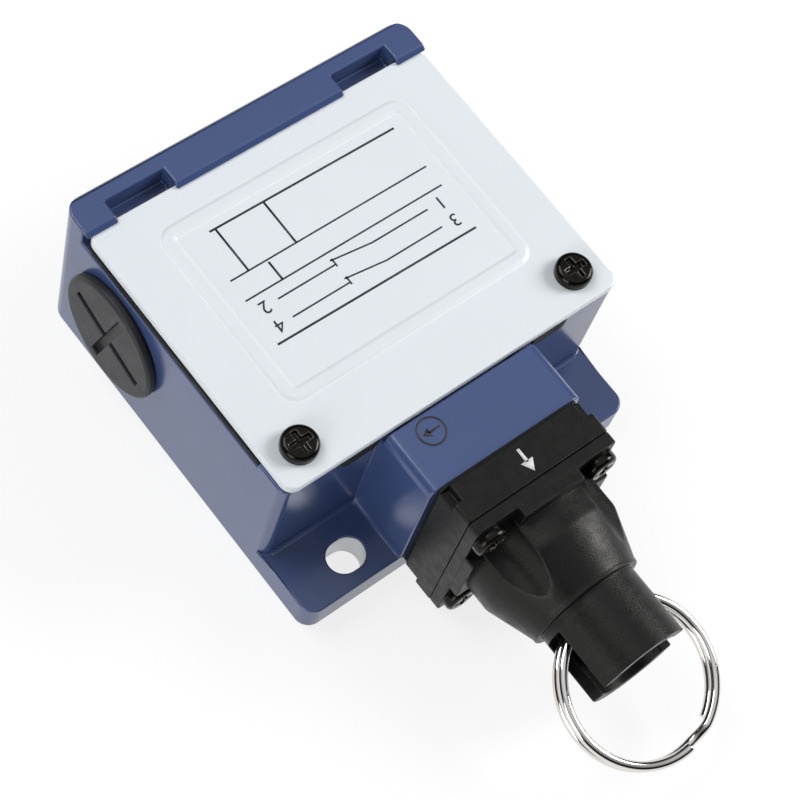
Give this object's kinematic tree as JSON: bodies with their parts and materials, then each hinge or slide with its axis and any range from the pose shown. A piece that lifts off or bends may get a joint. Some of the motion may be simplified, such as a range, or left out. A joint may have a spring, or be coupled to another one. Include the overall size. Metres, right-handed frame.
{
  "type": "rope pull switch",
  "caption": "Rope pull switch: die-cast housing with screwed cover, cable entries, slotted feet, moulded operating head and a split ring that takes the rope.",
  "frame": {"origin": "midway between the two fixing slots, on the mounting face", "axes": "+X across the housing, +Y towards the cable end, so the rope pulls along -Y, +Z out of the mounting face towards the cover"},
  "size_m": [0.0664, 0.1148, 0.0309],
  "materials": {
    "blue_paint": "gloss paint on a die-casting",
    "white_paint": "satin light grey",
    "rubber": "matte black",
    "dark_screw": "blackened, lightly oiled",
    "grey_plastic": "satin dark grey",
    "black_plastic": "fine matte texture",
    "brass": "bare",
    "steel": "turned, zinc plated",
    "spring_steel": "drawn wire",
    "ring_nickel": "bright nickel plate",
    "white_plastic": "natural moulding"
  },
  "bodies": {
    "housing_body": {"housing": "blue_paint", "cover": "white_paint", "cover_gasket": "rubber", "cover_screws": "dark_screw", "blanking_plug_left": "grey_plastic", "blanking_plug_right": "grey_plastic", "plug_seals": "rubber", "head_gasket": "rubber", "head_block": "black_plastic", "bell": "black_plastic", "head_screws": "dark_screw", "guide_bush": "brass", "rod_seal": "rubber", "return_spring": "spring_steel", "contact_base": "grey_plastic", "contact_lid": "black_plastic", "contact_spring": "spring_steel", "bridge_spring": "spring_steel", "fixed_contacts": "brass", "terminal_clamps": "steel", "terminal_screws": "steel", "block_screws": "steel", "earth_screw": "brass"},
    "rod_body": {"pull_rod": "steel", "spring_seat": "steel", "retaining_clip": "spring_steel"},
    "ring_body": {"split_ring": "ring_nickel"},
    "plunger_body": {"contact_plunger": "white_plastic"},
    "bridge_body": {"contact_bridge": "brass"}
  },
  "joints": [
    {"name": "pull_slide", "type": "slide", "parent": "housing_body", "child": "rod_body", "axis": [0, -1, 0], "range_m": [0, 0.005], "stiffness_N_per_m": 3000, "springref_m": -0.004, "deforming": ["return_spring"]},
    {"name": "ring_swing", "type": "hinge", "parent": "rod_body", "child": "ring_body", "pos_m": [0, -0.02995, 0.0152], "axis": [1, 0, 0], "range_deg": [-36, 0]},
    {"name": "plunger_slide", "type": "slide", "parent": "housing_body", "child": "plunger_body", "axis": [0, -1, 0], "range_m": [0, 0.005], "deforming": ["contact_spring"]},
    {"name": "bridge_slide", "type": "slide", "parent": "housing_body", "child": "bridge_body", "axis": [0, -1, 0], "range_m": [0, 0.0025], "deforming": ["bridge_spring"]}
  ],
  "couplings": [
    {"joint": "plunger_slide", "follows": "pull_slide", "ratio": 1},
    {"joint": "bridge_slide", "follows": "pull_slide", "ratio": 0.5}
  ]
}
